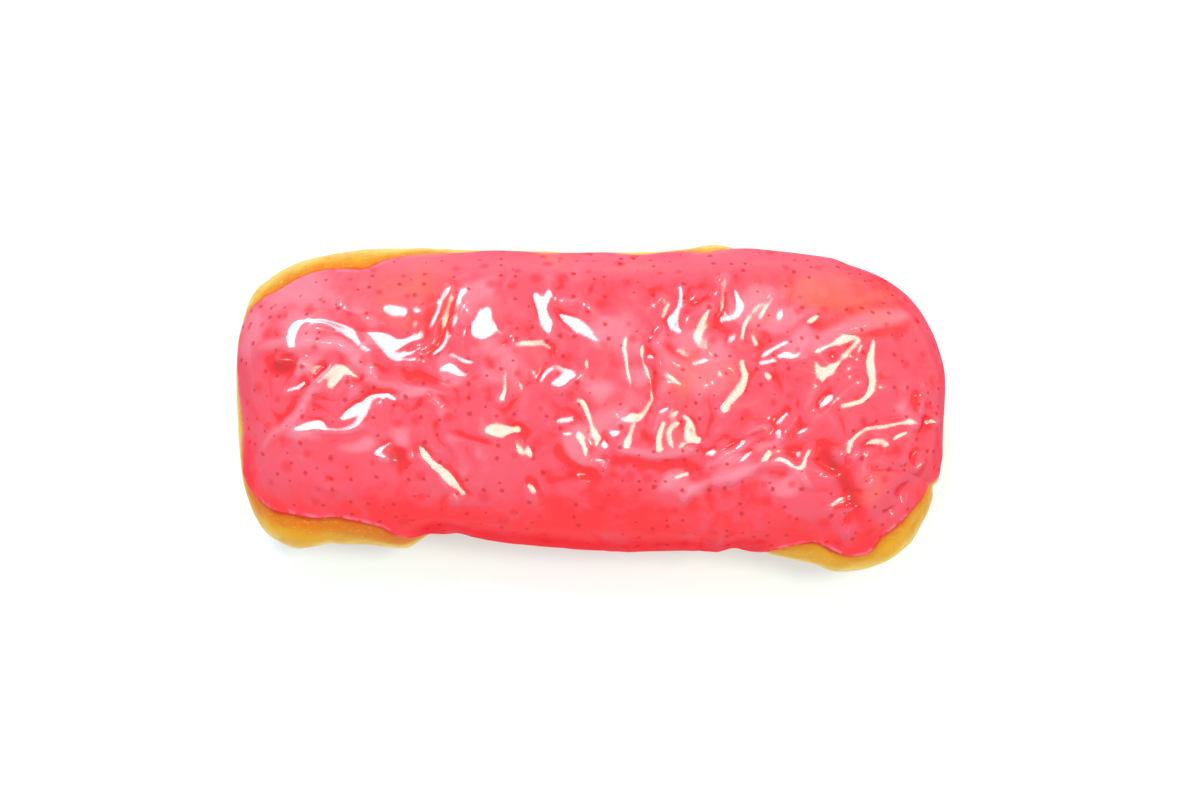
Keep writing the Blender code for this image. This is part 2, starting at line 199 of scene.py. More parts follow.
# Facets of the wrinkled skin that mirror the window, the lamp or, softly, the bright room. Each is a
# line of round marks: X, Y, half width
WINDOW_FACETS = (
    ((-60.9, 12.9, 0.8), (-60.9, 15.1, 0.8), (-60.1, 17, 0.8), (-58.9, 17.9, 0.4), (-56.5, 18.2, 0.3),
     (-53.8, 17.9, 0.3), (-51.2, 16.9, 0.6), (-49.1, 15.7, 0.9), (-48.1, 14.7, 0.5), (-47.1, 13.5, 0.2)),
    ((-46.3, 12.7, 0.3), (-45.1, 11.9, 0.2)), ((-41.4, 20.8, 0.7), (-40, 20.2, 1), (-38, 19.8, 0.8)),
    ((-35.7, 20.2, 0.4), (-35.3, 20, 0.4)), ((-35.9, 17.6, 0.5), (-35.5, 17.4, 0.5)),
    ((-44.9, 15.7, 0.3), (-43.2, 14.9, 0.9), (-41.6, 13.9, 1.5), (-39.8, 13.3, 1.1), (-37.7, 13.7, 0.6),
     (-36.1, 14.5, 0.5), (-34.7, 15.1, 0.7), (-33.9, 14.9, 0.3)),
    ((-41.4, 12.9, 0.9), (-40.4, 11.7, 1.1), (-39.2, 10.4, 0.8), (-37.3, 10, 0.2), (-35.5, 10, 0.2)),
    ((-39, 11.1, 0.3), (-37.5, 11.3, 0.2), (-36.1, 11.5, 0.2)),
    ((-63.2, 10.2, 0.2), (-61.7, 10.3, 0.4), (-60.5, 10, 0.2)),
    ((-61.5, 3.7, 0.2), (-59.9, 4.3, 0.3), (-58.3, 5.4, 0.4)),
    ((-32.3, 17, 0.3), (-31.8, 18, 0.4), (-31.2, 19.4, 0.3)),
    ((-27.9, 17.2, 0.3), (-27.2, 19.2, 0.3), (-27.1, 21.2, 0.3), (-26.8, 22.7, 0.4), (-26.3, 23.6, 0.4),
     (-25.5, 24.3, 0.6)),
    ((-31, 19.8, 0.3), (-30.5, 21.8, 0.3), (-29.7, 23.9, 0.3), (-28.6, 24.9, 0.3)),
    ((-29, 15.7, 0.4), (-28.6, 15.5, 0.4)),
    ((-31.6, 11.3, 0.3), (-30.6, 12.3, 0.4), (-29.6, 13.3, 0.3), (-29.2, 14.3, 0.2)),
    ((-30.2, 8.2, 0.2), (-28.6, 8.6, 0.9), (-27.2, 7.6, 0.7), (-25.5, 6.8, 0.4)),
    ((-28.2, 11.3, 0.4), (-26.8, 10.4, 0.2), (-25.3, 9.8, 0.3), (-24.1, 9.4, 0.2)),
    ((-21.1, 19.8, 1), (-21.7, 18.2, 1.6), (-22.3, 16.3, 1.9)), ((-21.5, 16.3, 1.8), (-20.5, 16.5, 1.5)),
    ((-10.9, 23.1, 0.7), (-10.3, 21.6, 0.8), (-9.7, 20, 0.9), (-9.1, 18.2, 1), (-8.5, 16.5, 0.7),
     (-8.5, 15.5, 0.4)),
    ((-8.3, 23.7, 0.6), (-9.1, 22.2, 0.7), (-9.9, 21, 0.7)), ((-7.9, 18.2, 0.4), (-8.3, 16.7, 0.5)),
    ((-6, 19.4, 0.4), (-4.4, 18.4, 0.9), (-2.6, 17.2, 1.1), (-0.7, 15.9, 0.9), (0.5, 14.7, 0.4),
     (1.5, 13.9, 0.3)),
    ((-9.9, 5.6, 0.3), (-9.3, 7, 0.3), (-8.1, 8.2, 0.3), (-6.6, 8.6, 0.4), (-5.4, 8, 0.5),
     (-4.2, 7.2, 0.9), (-3, 6.7, 0.3)),
    ((-7.2, 5.2, 0.6), (-6, 5.4, 1), (-4.8, 6.4, 1)), ((11.9, 10.6, 0.4), (12.9, 10.6, 0.4)),
    ((18.6, 24.9, 0.3), (18.8, 23.1, 0.2), (18.4, 21.4, 0.2), (17.8, 19.6, 0.5), (16.8, 18.4, 0.9),
     (16.4, 17, 0.4)),
    ((17.2, 16.5, 0.4), (18.4, 15.9, 0.3)), ((21.2, 9.4, 0.2), (22.5, 9.8, 0.3), (23.7, 10, 0.2)),
    ((26.7, 18.4, 0.4), (27.9, 18.6, 0.4), (29.2, 18.8, 0.5), (30.2, 19.6, 0.6), (30.7, 21, 0.7),
     (30.2, 22.4, 0.4), (29.8, 24.1, 0.2)),
    ((28.3, 14.1, 0.5), (29.4, 14.7, 0.6)), ((38.7, 19, 0.7), (39.1, 19.6, 0.6)),
    ((35.3, 10.9, 0.2), (36.7, 11.9, 0.3), (38.3, 12.7, 0.4), (40.1, 13.7, 0.2)),
    ((34.7, 9.6, 0.2), (36.3, 9.6, 0.2), (37.7, 10, 0.2)),
    ((38.5, 10.9, 0.2), (39.9, 11.1, 0.7), (41.4, 10.6, 0.4), (42.6, 11.1, 0.2)),
    ((-59.9, -4.2, 0.3), (-58.5, -3.8, 0.7), (-56.9, -3.4, 0.9), (-55, -3.2, 1), (-53.6, -4, 0.4),
     (-51.6, -4.2, 0.3), (-49.5, -4, 0.4), (-47.9, -3.4, 0.5), (-46.9, -2.2, 0.7), (-46.1, -0.1, 1),
     (-45.5, 1.5, 0.9), (-44.5, 2.5, 0.6), (-43, 2.9, 0.5), (-41.4, 3.1, 0.5), (-40.2, 2.5, 0.5),
     (-39.6, 2.1, 0.3)),
    ((-50.2, -1.8, 0.4), (-48.7, -0.7, 1), (-47.1, 0.3, 1.2)),
    ((-40.6, -6.8, 0.2), (-41.8, -7.5, 0.3), (-43.2, -8.7, 0.6), (-42.8, -9.3, 0.4), (-41.6, -9.7, 0.3)),
    ((-6.4, -2.4, 0.4), (-4.8, -2.2, 0.5), (-3.4, -2, 0.4)), ((-5.2, -5, 0.4), (-4, -5, 0.4)),
    ((2.7, -6.6, 0.5), (3.1, -7.7, 0.7)),
    ((0.7, -10.5, 0.4), (1.9, -10.3, 0.6), (3.1, -10.5, 0.4), (2.7, -11.9, 0.2)),
    ((4.4, -4.6, 0.5), (5, -5, 0.7), (6, -4.2, 0.3)), ((14.7, -0.3, 0.4), (15.7, 0.1, 0.5)),
    ((23.9, -9.1, 0.4), (25.1, -8.5, 0.5)), ((38.1, -3, 0.2), (39.1, -1.8, 0.4), (40.1, -0.7, 0.2)),
    ((38.4, -4.6, 0.6), (38.7, -5.8, 0.4)), ((42.6, -4.8, 0.4), (43.6, -4.4, 0.4), (44.4, -3.8, 0.2)),
    ((30, -7.9, 0.2), (30.8, -7.2, 0.4), (31.2, -6.6, 0.4)),
    ((30.8, -10.5, 0.3), (31.6, -9.7, 0.5), (32.6, -8.7, 0.3)),
    ((46.9, 0.7, 0.3), (48.1, 1.7, 0.8), (48.9, 2.6, 0.6)), ((42.4, -8.9, 0.5), (42.6, -9.7, 0.3)),
)
LAMP_FACETS = (
    ((-58.5, 9.4, 0.4), (-57.1, 8.4, 0.7), (-56.3, 7.6, 0.7)), ((-56.1, 8.4, 0.5), (-54.6, 8.8, 0.3)),
    ((-55.4, 5.6, 0.2), (-53.8, 6.8, 0.6), (-52, 7.8, 1), (-50.2, 8.2, 1), (-48.5, 7.4, 0.5),
     (-47.3, 6.6, 0.2)),
    ((-51.2, 7.2, 1), (-52.2, 5.8, 0.9), (-52.8, 4.8, 0.6)),
    ((-29.6, 17.4, 0.6), (-29.2, 19.4, 0.5), (-28.8, 21.4, 0.4), (-28.3, 23.2, 0.4)),
    ((-15.2, 13.1, 0.2), (-13.3, 13.5, 0.6), (-11.7, 13.5, 0.5), (-10.1, 13.7, 0.5), (-8.9, 13.3, 0.4),
     (-7.9, 12.7, 0.2)),
    ((-17, 7.6, 0.2), (-17, 5.6, 0.2), (-17.2, 3.7, 0.4), (-18, 2.1, 0.6)),
    ((-14.4, 5.6, 0.4), (-14, 4.5, 0.4), (-13.7, 3.7, 0.2)), ((-0.7, 9.6, 0.4), (-0.7, 8.8, 0.4)),
    ((7.4, 14.5, 0.2), (7, 12.5, 0.4), (7.4, 10.4, 0.3), (7.6, 8.4, 0.3), (8, 6.8, 0.2), (8.4, 5.6, 0.2)),
    ((10.7, 12.7, 0.3), (10.5, 11.1, 0.2), (11.1, 9.4, 0.3), (11.9, 7.4, 0.2), (12.5, 5.6, 0.2),
     (12.7, 3.3, 0.2), (12.9, 1.9, 0.3), (12.3, 1.1, 0.4), (11.5, -0.3, 0.4), (10.2, -1.6, 0.5)),
    ((15.1, 22.4, 0.2), (16.1, 21.6, 0.3), (15.5, 20.4, 0.2), (15.1, 19, 0.2)),
    ((24.3, 20.2, 0.2), (23.3, 18.4, 0.5), (22.5, 16.3, 0.7), (22, 14.5, 0.8), (22.9, 13.3, 0.9),
     (23.9, 12.5, 0.5)),
    ((17.8, 12.1, 0.2), (19, 11.5, 0.5), (20.2, 10.9, 0.3)), ((14.3, 9.8, 0.4), (14.5, 8.8, 0.3)),
    ((15.1, 7.4, 0.4), (16.1, 6.8, 0.4), (17.4, 5.8, 0.3), (18.6, 5.2, 0.2)),
    ((26.3, 8, 0.4), (26.5, 7, 0.3)),
    ((27.7, 26.5, 0.2), (27.3, 24.3, 0.2), (27.3, 22.2, 0.2), (26.9, 20.4, 0.2)),
    ((26.9, 25.9, 0.3), (26.9, 25.3, 0.3)),
    ((31.2, 14.3, 0.2), (31.2, 15.9, 0.4), (31.8, 17.6, 0.4), (32.6, 19, 0.4)),
    ((33.4, 20.2, 0.3), (34.5, 21.4, 0.2), (35.5, 22, 0.2)),
    ((34.7, 18.6, 0.2), (35.5, 20, 0.3), (36.5, 21.6, 0.3), (37.3, 22.6, 0.2)),
    ((33, 15.3, 0.2), (33.6, 14.1, 0.4), (34, 13.3, 0.3)),
    ((35.7, 7.4, 0.3), (36.3, 6.6, 0.5), (36.9, 6.8, 0.3)),
    ((31, 10, 0.3), (31.4, 8.2, 0.6), (31.6, 6.2, 0.7), (30.8, 4.3, 0.8), (29.6, 2.9, 0.7),
     (28.1, 1.3, 0.7), (27.3, 0.1, 0.9)),
    ((45, 18, 0.6), (46.4, 19, 0.4)),
    ((49.5, 13.3, 0.2), (50.9, 13.9, 0.7), (52.3, 14.5, 0.8), (54, 14.9, 0.4)),
    ((45.8, 11.7, 0.2), (47.9, 12.5, 0.2), (49.5, 13.2, 0.2)),
    ((54.8, 14.3, 0.3), (53.8, 12.9, 0.3), (52.6, 11.7, 0.3), (51.5, 10.4, 0.3)),
    ((50.9, 9.6, 0.4), (49.7, 8.6, 0.6), (48.5, 7.8, 0.9), (47.3, 7.2, 0.9), (47.3, 6, 0.4)),
    ((46.2, 9.4, 0.3), (46.4, 8, 0.6)),
    ((58, 13.9, 0.2), (57.6, 12.1, 0.5), (57.2, 10, 0.7), (57.4, 8, 0.8), (57.6, 6, 0.7), (57.4, 4.3, 0.7),
     (56.6, 2.7, 0.5), (55.4, 1.7, 0.4), (53.4, 1.1, 0.4), (51.5, 0.7, 0.2)),
    ((-36.1, -8.7, 0.4), (-36.1, -9.5, 0.4)),
    ((-34.3, -8.1, 0.6), (-33.5, -9.3, 0.9), (-32.5, -10.5, 0.6), (-31.4, -11.7, 0.7), (-30.2, -12.5, 0.9),
     (-29.2, -13.6, 1.1), (-28, -14.8, 1), (-27, -15.8, 0.6), (-26.2, -16.6, 0.5), (-25.7, -17.2, 0.6)),
    ((-27.8, -17, 0.3), (-27.2, -18, 0.4)),
    ((-20.9, -4.4, 0.7), (-19.6, -4.2, 1.2), (-18.2, -4.4, 1.3), (-16.8, -4.2, 0.9), (-15.6, -4.2, 0.5),
     (-14.6, -4, 0.8)),
    ((-14.8, -7.5, 0.3), (-14.2, -8.5, 0.6), (-13.7, -9.1, 0.3)),
    ((-12.5, -7.7, 0.3), (-12.3, -8.7, 0.7), (-11.9, -9.5, 0.3)),
    ((-12.3, -15.6, 0.6), (-11.7, -16.4, 0.9), (-11.3, -17.2, 0.4)),
    ((-2.6, 1.7, 0.3), (-1.3, 1.3, 0.6), (-0.5, -0.7, 0.5), (0.3, -3.2, 0.3), (0.9, -4.8, 0.7),
     (1.5, -5.8, 0.7), (1.7, -7, 0.3)),
    ((-2.2, -5.4, 0.7), (-1.3, -7, 0.5), (-0.9, -8.7, 0.4), (-0.7, -9.7, 0.2)),
    ((6.2, -2, 0.3), (7.6, -2, 0.5), (8.8, -1.6, 0.9), (10.2, -1.8, 0.5)),
    ((9, -2.8, 0.2), (8.4, -4.6, 0.2), (7.8, -6.2, 0.7), (7.4, -7.7, 0.7)),
    ((14.9, -3, 0.5), (14.3, -4.6, 0.6), (13.9, -6.4, 0.6), (14.1, -8.3, 0.7)),
    ((17.6, -0.7, 0.5), (16.6, -1.6, 0.4)),
    ((18, -2.8, 0.5), (16.8, -3.4, 0.5), (16.1, -4.8, 0.4), (16.4, -6.6, 0.4), (17, -8.1, 0.4)),
    ((19.2, -1.6, 0.4), (20.4, -2.2, 0.5), (21.2, -3.4, 0.3), (21.4, -4.8, 0.3)),
    ((20, -3.2, 0.6), (19.8, -4.6, 0.5), (20.4, -5.8, 0.9), (22, -6.2, 0.7)),
    ((19.2, -7, 0.4), (17.8, -7.9, 0.3)), ((17.6, -14, 0.2), (19, -13.4, 0.3), (20, -13.1, 0.2)),
    ((34.9, -10.5, 0.2), (36.1, -9.7, 0.6), (36.5, -8.7, 0.5)),
    ((37.7, -10.3, 0.3), (38.9, -10.1, 0.4), (39.9, -10.5, 0.5), (40.8, -11.3, 0.5), (42, -11.9, 0.3),
     (43.2, -11.9, 0.3), (43.8, -10.7, 0.3), (44.2, -9.5, 0.3), (44.6, -8.5, 0.2)),
    ((52.8, -8.7, 0.4), (53, -7.2, 0.4), (53.8, -6, 0.3), (55, -4.8, 0.3), (56.6, -4, 0.2),
     (58.2, -3.6, 0.2), (59.9, -3.6, 0.2), (61.1, -3.4, 0.3), (62.7, -3, 0.2), (64.3, -2.8, 0.3),
     (65.6, -2.6, 0.6), (66.8, -2.8, 0.4)),
    ((56.8, -7, 0.3), (58.2, -6.6, 0.5), (59.7, -6.6, 0.4), (60.7, -7.2, 0.5)),
    ((62.3, -6, 0.2), (63.5, -5.4, 0.4), (64.8, -4.8, 0.2)),
    ((49.5, -19.7, 0.2), (50.5, -18.8, 0.3), (51.5, -18.2, 0.3)),
)
SHEEN_FACETS = (
    ((-19, 15.5, 0.6), (-18, 14.7, 0.4)), ((15.9, -11.5, 0.4), (16.4, -14, 0.4)),
    ((19.2, -17.2, 0.2), (20.6, -16, 0.3), (22.2, -15.2, 0.3), (24.5, -15, 0.2)),
    ((26.5, -14.4, 0.2), (31, -12.3, 0.3), (33.6, -11.1, 0.2)),
    ((64.8, -16.4, 0.3), (64.8, -18.4, 0.5), (65, -20.1, 0.2)), ((62.5, -21.1, 0.5), (63.1, -22.1, 0.5)),
    ((56.6, -15.2, 0.2), (57.2, -14.2, 0.2)), ((67.2, 2.7, 0.3), (67.6, 1.1, 0.4), (67.4, -0.1, 0.2)),
    ((67, -9.5, 0.5), (67.4, -11.1, 0.5)), ((69.4, -2.6, 0.2), (70.9, -2.6, 0.2)),
    ((50.9, -20.5, 0.3), (53, -20.3, 0.3)), ((52.6, -24.7, 0.3), (52.8, -23.3, 0.3)),
    ((54.2, -17.8, 0.4), (54.8, -17.4, 0.3)), ((-23.3, 5.8, 0.2), (-22.7, 5, 0.3)),
    ((-53.2, -14.4, 0.2), (-53.2, -15.8, 0.3)), ((25.3, 8.4, 0.2), (27.3, 8.8, 0.2)),
)

# Camera and lights, and how the skin settles so that only the facets mirror the two lights
CAMERA_HEIGHT = 550.0
CAMERA_LENS = 75.97
NEAREST_SEEN = 0.05
OBJECT_IN_VIEW = (-10.0, -9.0)
PIXELS_PER_MM = 4.73
EYE = np.array([-OBJECT_IN_VIEW[0] / PIXELS_PER_MM, -OBJECT_IN_VIEW[1] / PIXELS_PER_MM, CAMERA_HEIGHT])
WINDOW = np.array([-250.0, 610.0, 1050.0])
LAMP = np.array([390.0, 120.0, 1050.0])
FLOOR_REACH = 3.0
ROOM_LIGHT = 0.85
WHITE = (1.0, 1.0, 1.0, 1.0)
SHEEN_TILT = 0.66
CLEAR_OF_WINDOW = 0.105
CLEAR_OF_LAMP = 0.09
CLEAR_MARGIN = 1.2
FACET_PULL = 250.0
CLEAR_PULL = 15.0
FACET_EDGE = 0.25
FACET_FULL = 0.8
LEAST_FACET = 0.32
HOLD = 0.03
EDGE_HOLD = 5.0
SETTLING_ROUNDS = 45
SETTLING_STEPS = 110


def step(start, end, value):
    """Rises smoothly from 0 at start to 1 at end."""
    share = np.clip((value - start) / (end - start), 0, 1)
    return share * share * (3 - 2 * share)


def along_stations(place, stations):
    """Eases through the values at the stations, round and round the bar, with no overshoot."""
    at, value = np.array(stations).T
    at = np.concatenate([at[-2:] - 8, at, at[:2] + 8])
    value = np.concatenate([value[-2:], value, value[:2]])
    run = np.diff(at)
    rise = np.diff(value) / run
    both = rise[:-1] * rise[1:]
    slope = np.zeros_like(value)
    slope[1:-1] = np.where(both > 0, 2 * both / np.where(both > 0, rise[:-1] + rise[1:], 1), 0)
    index = np.searchsorted(at, place % 8, side="right") - 1
    share = (place % 8 - at[index]) / run[index]
    ease = share * share * (3 - 2 * share)
    lead = share * (1 - share) ** 2 * slope[index] * run[index]
    tail = share**2 * (1 - share) * slope[index + 1] * run[index]
    return value[index] * (1 - ease) + value[index + 1] * ease + lead - tail


class Grain:
    """Smooth random variation in space, about -1 to 1, the same each time for one seed."""

    def __init__(self, seed):
        draw = np.random.RandomState(seed)
        self.order = draw.permutation(256)
        slopes = draw.normal(size=(256, 3))
        self.slopes = slopes / np.linalg.norm(slopes, axis=1, keepdims=True)

    def __call__(self, points):
        cell = np.floor(points).astype(int)
        inside = points - cell
        ease = inside**3 * (inside * (inside * 6 - 15) + 10)
        total = np.zeros(len(points))
        for corner in np.ndindex(2, 2, 2):
            x, y, z = (cell + corner).T % 256
            index = self.order[(self.order[(self.order[x] + y) % 256] + z) % 256]
            weight = np.prod(np.where(corner, ease, 1 - ease), axis=1)
            total += weight * np.sum(self.slopes[index] * (inside - corner), axis=1)
        return total * 1.6


def edge_height(place):
    """Height of the icing's edge above the table."""
    height = along_stations(place, EDGE_STATIONS)
    grain = Grain(RIPPLE_SEED)
    turn = place / 8 * 2 * np.pi
    circle = np.stack([np.cos(turn), np.sin(turn), np.zeros_like(turn)], axis=1)
    for size, amount in EDGE_RIPPLES:
        height += amount * grain(circle / size)
    return height


def level(plan):
    """Plan points with a height of 0."""
    return np.column_stack([plan, np.zeros(len(plan))])


def drift(plan, seed, size):
    """A smooth random shift of plan points, about -1 to 1 each way."""
    return np.column_stack([Grain(seed + row)(level(plan) / size) for row in (0, 1)])


def round_curve(angle, power):
    """A point on a quarter curve between a circle (power 2) and a square, at an angle from its start."""
    forward, sideways = np.cos(angle), np.sin(angle)
    size = (np.abs(forward) ** power + np.abs(sideways) ** power) ** (1 / power)
    return forward / size, sideways / size


def rim(place):
    """The spine's X and the outward direction, in half widths, of a place on the plain bar's rim."""
    front = place > 4
    quarter = np.where(front, 8 - place, place)
    left = quarter > 2
    quarter = np.where(left, 4 - quarter, quarter)
    run = (2 - quarter) * QUARTER_RUN
    on_end = quarter < 1
    spine = np.where(on_end, SPINE, np.minimum(run, SPINE))
    turn = np.where(on_end, quarter, 2 - np.maximum(run - SPINE, 0) / END_QUARTER) * np.pi / 4
    outward, sideways = round_curve(turn, END_POWER)
    mirror_x = np.where(left, -1, 1)
    return spine * mirror_x, outward * mirror_x, sideways * np.where(front, -1, 1)


def place_of(across, along, spine):
    """The place on the rim that a point looks out to, the inverse of rim."""
    turn = np.arctan2(np.abs(along), np.abs(across)) / (np.pi / 4)
    run = np.abs(spine) + (2 - turn) * END_QUARTER
    quarter = np.where(turn <= 1, turn, 2 - run / QUARTER_RUN)
    half = np.where(across + spine < 0, 4 - quarter, quarter)
    return np.where(along < 0, 8 - half, half)


def square_place(u, v, ring):
    """The place of a point on the square of half side ring, 0 at its right side's middle."""
    ring = np.maximum(ring, TINY)
    right, back, left = u >= ring, v >= ring, u <= -ring
    place = np.where(left, 4 - v / ring, 6 + u / ring)
    place = np.where(back, 2 - u / ring, place)
    place = np.where(right, v / ring, place)
    return place % 8


def pressed(height):
    """Flattens what would reach below the table, with a softened corner."""
    soft = (height + BASE_SOFTENING) ** 2 / (4 * BASE_SOFTENING)
    return np.where(height < -BASE_SOFTENING, 0, np.where(height < BASE_SOFTENING, soft, height))


def skin(x, y, under):
    """Lifts points of the plain bar's plan to its surface, then swells them outwards."""
    spine = np.clip(x, -SPINE, SPINE)
    across = x - spine
    size = (np.abs(across) ** END_POWER + np.abs(y) ** END_POWER) ** (1 / END_POWER)
    reach = np.minimum(size / HALF_WIDTH, 1)
    rise = (1 - reach**SIDE_POWER) ** (1 / SIDE_POWER)
    z = np.where(under, pressed(RING_HEIGHT - DROP * rise), RING_HEIGHT + RISE * rise)
    swelling = along_stations(place_of(across, y, spine), RIM_STATIONS)
    push = swelling * reach**2 / np.maximum(np.hypot(across, y), TINY)
    return np.stack([x + push * across, y + push * y, z], axis=1)


def spread(u, v, angle):
    """The plan point of a square sheet's point (u, v), where angle is measured down from the crown."""
    ring = np.maximum(np.abs(u), np.abs(v))
    spine, outward, sideways = rim(square_place(u, v, ring))
    up, out = round_curve(angle, SIDE_POWER)
    reach = HALF_WIDTH * out
    return spine * ring + reach * outward, reach * sideways, up < 0


def edge_angle(height):
    """The section's angle down from the crown at a height above the table."""
    over = (height - RING_HEIGHT) / np.where(height < RING_HEIGHT, DROP, RISE)
    out = (1 - np.abs(over) ** SIDE_POWER) ** (1 / SIDE_POWER)
    return np.arctan2(out, over)


def smooth_line(marks, steps=8):
    """A smooth line through all its marks, as close short runs."""
    marks = np.array(marks, float)
    padded = np.concatenate([2 * marks[:1] - marks[1:2], marks, 2 * marks[-1:] - marks[-2:-1]])
    share = np.linspace(0, 1, steps, endpoint=False)[:, None]
    spans = []
    for before, here, there, after in zip(padded, padded[1:], padded[2:], padded[3:]):
        bend = 2 * before - 5 * here + 4 * there - after
        twist = 3 * here - before - 3 * there + after
        spans.append(here + (there - before) / 2 * share + bend / 2 * share**2 + twist / 2 * share**3)
    return np.concatenate([*spans, marks[-1:]])


def near_line(plan, line, reach):
    """Which points lie in the line's box, widened by reach."""
    low, high = line[:, :2].min(0) - reach, line[:, :2].max(0) + reach
    return np.flatnonzero(((plan > low) & (plan < high)).all(axis=1))


def beside(plan, points, reach):
    """Points near a smooth line: which, signed distance (left is +), distance along, and its length."""
    line = smooth_line(points)
    near = near_line(plan, line, reach)
    spots = plan[near]
    best = np.full(len(near), np.inf)
    side = np.zeros(len(near))
    along = np.zeros(len(near))
    runs = np.diff(line, axis=0)
    lengths = np.hypot(*runs.T)
    starts = np.concatenate([[0], np.cumsum(lengths)])
    for here, run, length, start in zip(line, runs, lengths, starts):
        offset = spots - here
        share = np.clip(offset @ run / length**2, 0, 1)
        away = np.hypot(*(offset - share[:, None] * run).T)
        closer = away < best
        best = np.where(closer, away, best)
        side = np.where(closer, np.sign(run[0] * offset[:, 1] - run[1] * offset[:, 0]), side)
        along = np.where(closer, start + share * length, along)
    return near, best * side, along, starts[-1]


def fold_relief(plan):
    """Height of the named folds, creases, mounds and pits."""
    height = np.zeros(len(plan))
    strokes = [(*fold, FOLD_CROWN) for fold in FOLDS]
    strokes += [(points, -deep, width, width, CREASE_CROWN) for points, deep, width in CREASES]
    for points, tall, left, right, crown in strokes:
        near, side, along, length = beside(plan, points, 3 * max(left, right))
        width = np.where(side > 0, left, right)
        taper = step(*STROKE_TAPER, along) * step(*STROKE_TAPER, length - along)
        height[near] += tall * np.exp(-(np.abs(side / width) ** crown)) * taper
    for centre, radii, tall in MOUNDS:
        away = np.hypot(*((plan - centre) / radii).T)
        height += tall * np.exp(-(away**MOUND_CROWN))
    return height


def wrinkles(plan):
    """Puffed, creased skin between the folds, calmer on the smooth patches."""
    flat = level(plan)
    warp = level(drift(plan, DRIFT_SEED, DRIFT_SIZE))
    broad, puffed, fine = (
        Grain(WRINKLE_SEED + row)((flat + strayed * warp) / size)
        for row, (size, _, strayed) in enumerate(WRINKLES)
    )
    broad_tall, puffed_tall, fine_tall = (tall for _, tall, _ in WRINKLES)
    puffed = np.abs(puffed)
    height = broad_tall * broad
    height += puffed_tall * (puffed * 2 - PUFF_LEVEL)
    height += fine_tall * np.abs(fine) * step(*FINE_ON_PUFFS, puffed)
    calm = np.zeros(len(plan))
    for centre, radius in CALM_PATCHES:
        away = np.hypot(*(plan - centre).T) / radius
        calm = np.maximum(calm, np.exp(-(away**4)))
    return height * (1 - CALMED * calm)


def unit(vectors):
    return vectors / np.linalg.norm(vectors, axis=-1, keepdims=True)


def slopes(normals):
    """Slopes along X and Y of a surface from vectors square to it."""
    return -normals[..., :2] / normals[..., 2:]


def mirror_slope(points, lamp):
    """The slopes at which a wet surface shows a lamp to the camera."""
    return slopes(unit(lamp - points) + unit(EYE - points))


def facet_wishes(points):
    """How much each point belongs to a facet, and the slopes that the facet wants there."""
    cover = np.zeros(len(points))
    wish = np.zeros((len(points), 2))
    plan = points[:, :2]
    groups = ((WINDOW_FACETS, WINDOW, 1.0), (LAMP_FACETS, LAMP, 1.0), (SHEEN_FACETS, WINDOW, SHEEN_TILT))
    for facets, lamp, share in groups:
        slope = mirror_slope(points, lamp) * share
        for marks in facets:
            line = smooth_line(marks)
            near = near_line(plan, line, line[:, 2].max() + FACET_EDGE)
            inside = np.full(len(near), -np.inf)
            for here, there in zip(line, line[1:]):
                run = there - here
                offset = plan[near] - here[:2]
                part = np.clip(offset @ run[:2] / max(run[:2] @ run[:2], TINY), 0, 1)
                away = np.hypot(*(offset - part[:, None] * run[:2]).T)
                half_width = np.maximum(here[2] + part * run[2], LEAST_FACET)
                inside = np.maximum(inside, half_width - away)
            member = np.clip(inside / FACET_EDGE + FACET_FULL, 0, 1)
            more = member > cover[near]
            cover[near[more]] = member[more]
            wish[near[more]] = slope[near[more]]
    return cover, wish


def grid_normals(grid):
    """Outward vectors square to a grid of points."""
    return np.cross(np.gradient(grid, axis=0), np.gradient(grid, axis=1))


def middle(values, axis):
    """Mean of each two neighbours along an axis."""
    return (np.delete(values, 0, axis) + np.delete(values, -1, axis)) / 2


def spill(total, flow, axis, behind=-1):
    """Adds each link's flow to its far end, and takes it from its near end or adds it there too."""
    total, flow = np.moveaxis(total, axis, 0), np.moveaxis(flow, axis, 0)
    total[1:] += flow
    total[:-1] += behind * flow


def settle(start, pulls, rises, hold):
    """Offsets whose rises along the grid's links come close to those wanted (conjugate gradients)."""

    def strain(offset):
        total = hold * offset
        for axis, pull in enumerate(pulls):
            spill(total, pull * np.diff(offset, axis=axis), axis)
        return total

    stiffness = hold.copy()
    wanted = np.zeros_like(hold)
    for axis, (pull, rise) in enumerate(zip(pulls, rises)):
        spill(wanted, pull * rise, axis)
        spill(stiffness, pull, axis, behind=1)
    offset = start.copy()
    left = wanted - strain(offset)
    direction = left / stiffness
    energy = np.sum(left * direction)
    for _ in range(SETTLING_STEPS):
        moved = strain(direction)
        share = energy / np.sum(direction * moved)
        offset += share * direction
        left -= share * moved
        eased = left / stiffness
        before, energy = energy, np.sum(left * eased)
        direction = eased + energy / before * direction
    return offset


